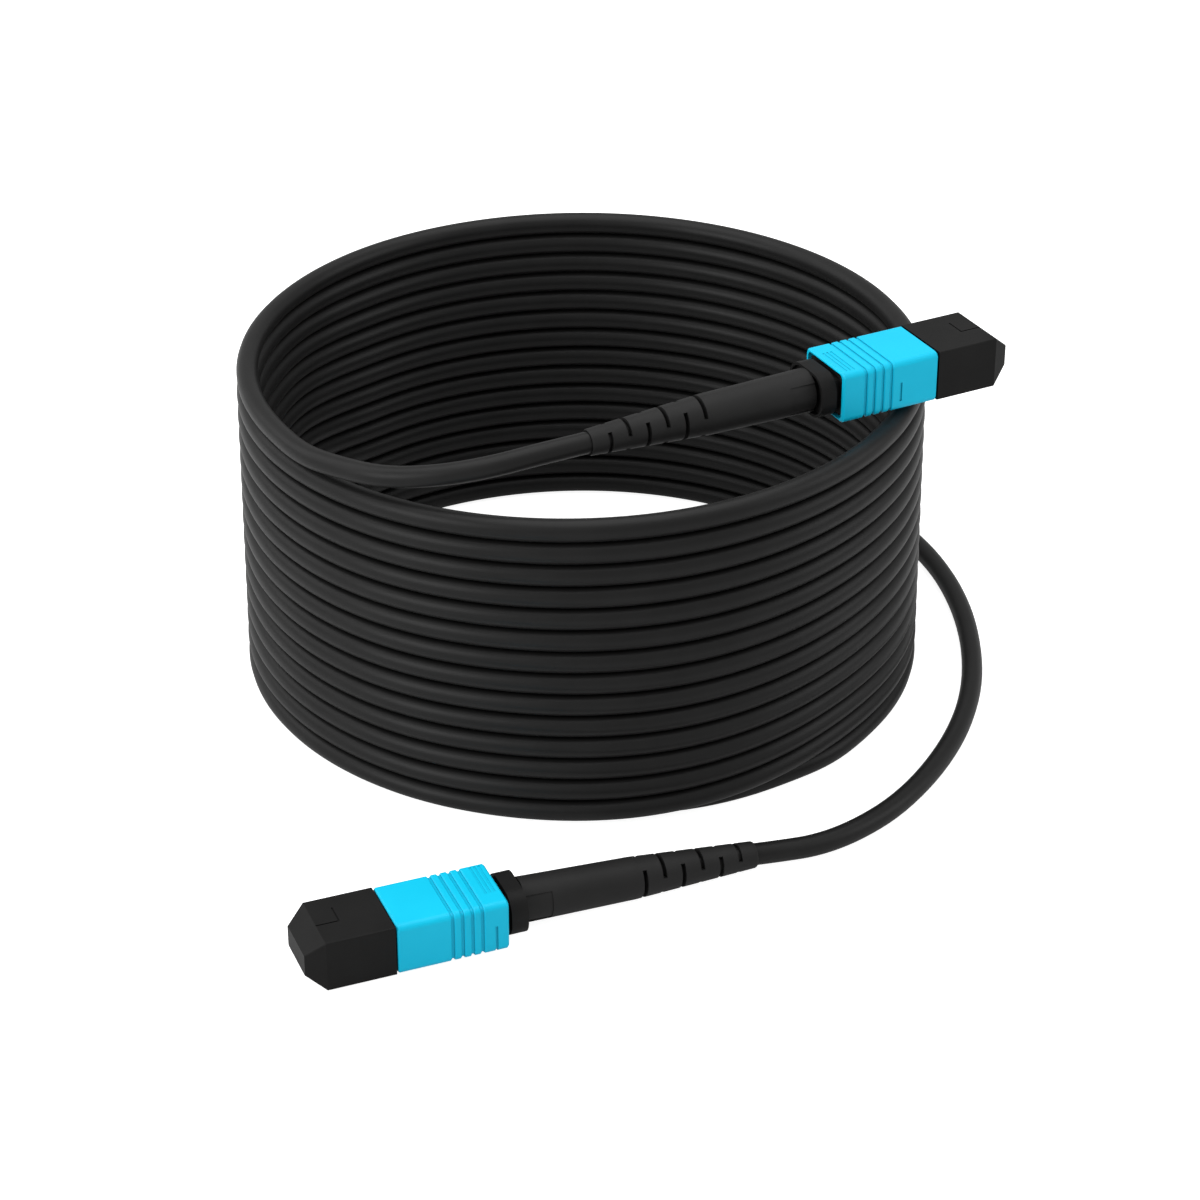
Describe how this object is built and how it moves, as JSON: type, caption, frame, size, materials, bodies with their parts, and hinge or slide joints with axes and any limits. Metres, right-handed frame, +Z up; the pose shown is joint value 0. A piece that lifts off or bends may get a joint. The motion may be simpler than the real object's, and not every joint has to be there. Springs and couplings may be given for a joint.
{
  "type": "mpo fibre patch cord",
  "caption": "Coiled round fibre-optic patch cord with a push-pull multi-fibre plug, slotted strain relief and dust cap on each end.",
  "frame": {"origin": "centre of the coil, on the surface that it stands on", "axes": "+Z up the coil's axis; +X along the floor plug, from its nose towards its cable"},
  "size_m": [0.1563, 0.1562, 0.0705],
  "materials": {
    "black_plastic": "satin",
    "aqua_plastic": "satin",
    "boot_rubber": "matte",
    "cable_jacket": "matte",
    "ferrule_resin": "matte",
    "spring_steel": "satin",
    "crimp_metal": "satin",
    "soft_rubber": "matte",
    "coated_fibre": "matte"
  },
  "bodies": {
    "patch_cord": {"coil": "cable_jacket", "lower_lead": "cable_jacket", "upper_lead": "cable_jacket", "inner_housing_a": "black_plastic", "back_housing_a": "black_plastic", "crimp_ring_a": "crimp_metal", "strain_relief_boot_a": "boot_rubber", "cable_end_a": "cable_jacket", "sleeve_spring_left_a": "spring_steel", "sleeve_spring_right_a": "spring_steel", "ferrule_spring_a": "spring_steel", "inner_housing_b": "black_plastic", "back_housing_b": "black_plastic", "crimp_ring_b": "crimp_metal", "strain_relief_boot_b": "boot_rubber", "cable_end_b": "cable_jacket", "sleeve_spring_left_b": "spring_steel", "sleeve_spring_right_b": "spring_steel", "ferrule_spring_b": "spring_steel"},
    "dust_cap_a": {"dust_cap_a": "black_plastic"},
    "sleeve_a": {"coupling_sleeve_a": "aqua_plastic"},
    "ferrule_a": {"ferrule_a": "ferrule_resin", "pin_clamp_a": "spring_steel", "ferrule_boot_a": "soft_rubber", "fibre_ribbon_a": "coated_fibre"},
    "dust_cap_b": {"dust_cap_b": "black_plastic"},
    "sleeve_b": {"coupling_sleeve_b": "aqua_plastic"},
    "ferrule_b": {"ferrule_b": "ferrule_resin", "pin_clamp_b": "spring_steel", "ferrule_boot_b": "soft_rubber", "fibre_ribbon_b": "coated_fibre"}
  },
  "joints": [
    {"name": "dust_cap_a_pull", "type": "slide", "parent": "patch_cord", "child": "dust_cap_a", "axis": [-1, 0, 0], "range_m": [0, 0.012]},
    {"name": "sleeve_a_slide", "type": "slide", "parent": "patch_cord", "child": "sleeve_a", "axis": [1, 0, 0], "range_m": [0, 0.0024], "stiffness_N_per_m": 1000, "deforming": ["sleeve_spring_left_a", "sleeve_spring_right_a"]},
    {"name": "ferrule_a_float", "type": "slide", "parent": "patch_cord", "child": "ferrule_a", "axis": [1, 0, 0], "range_m": [0, 0.0012], "stiffness_N_per_m": 1000, "deforming": ["ferrule_spring_a"]},
    {"name": "dust_cap_b_pull", "type": "slide", "parent": "patch_cord", "child": "dust_cap_b", "axis": [0.9945, 0.1045, 0], "range_m": [0, 0.012]},
    {"name": "sleeve_b_slide", "type": "slide", "parent": "patch_cord", "child": "sleeve_b", "axis": [-0.9945, -0.1045, 0], "range_m": [0, 0.0024], "stiffness_N_per_m": 1000, "deforming": ["sleeve_spring_left_b", "sleeve_spring_right_b"]},
    {"name": "ferrule_b_float", "type": "slide", "parent": "patch_cord", "child": "ferrule_b", "axis": [-0.9945, -0.1045, 0], "range_m": [0, 0.0012], "stiffness_N_per_m": 1000, "deforming": ["ferrule_spring_b"]}
  ]
}
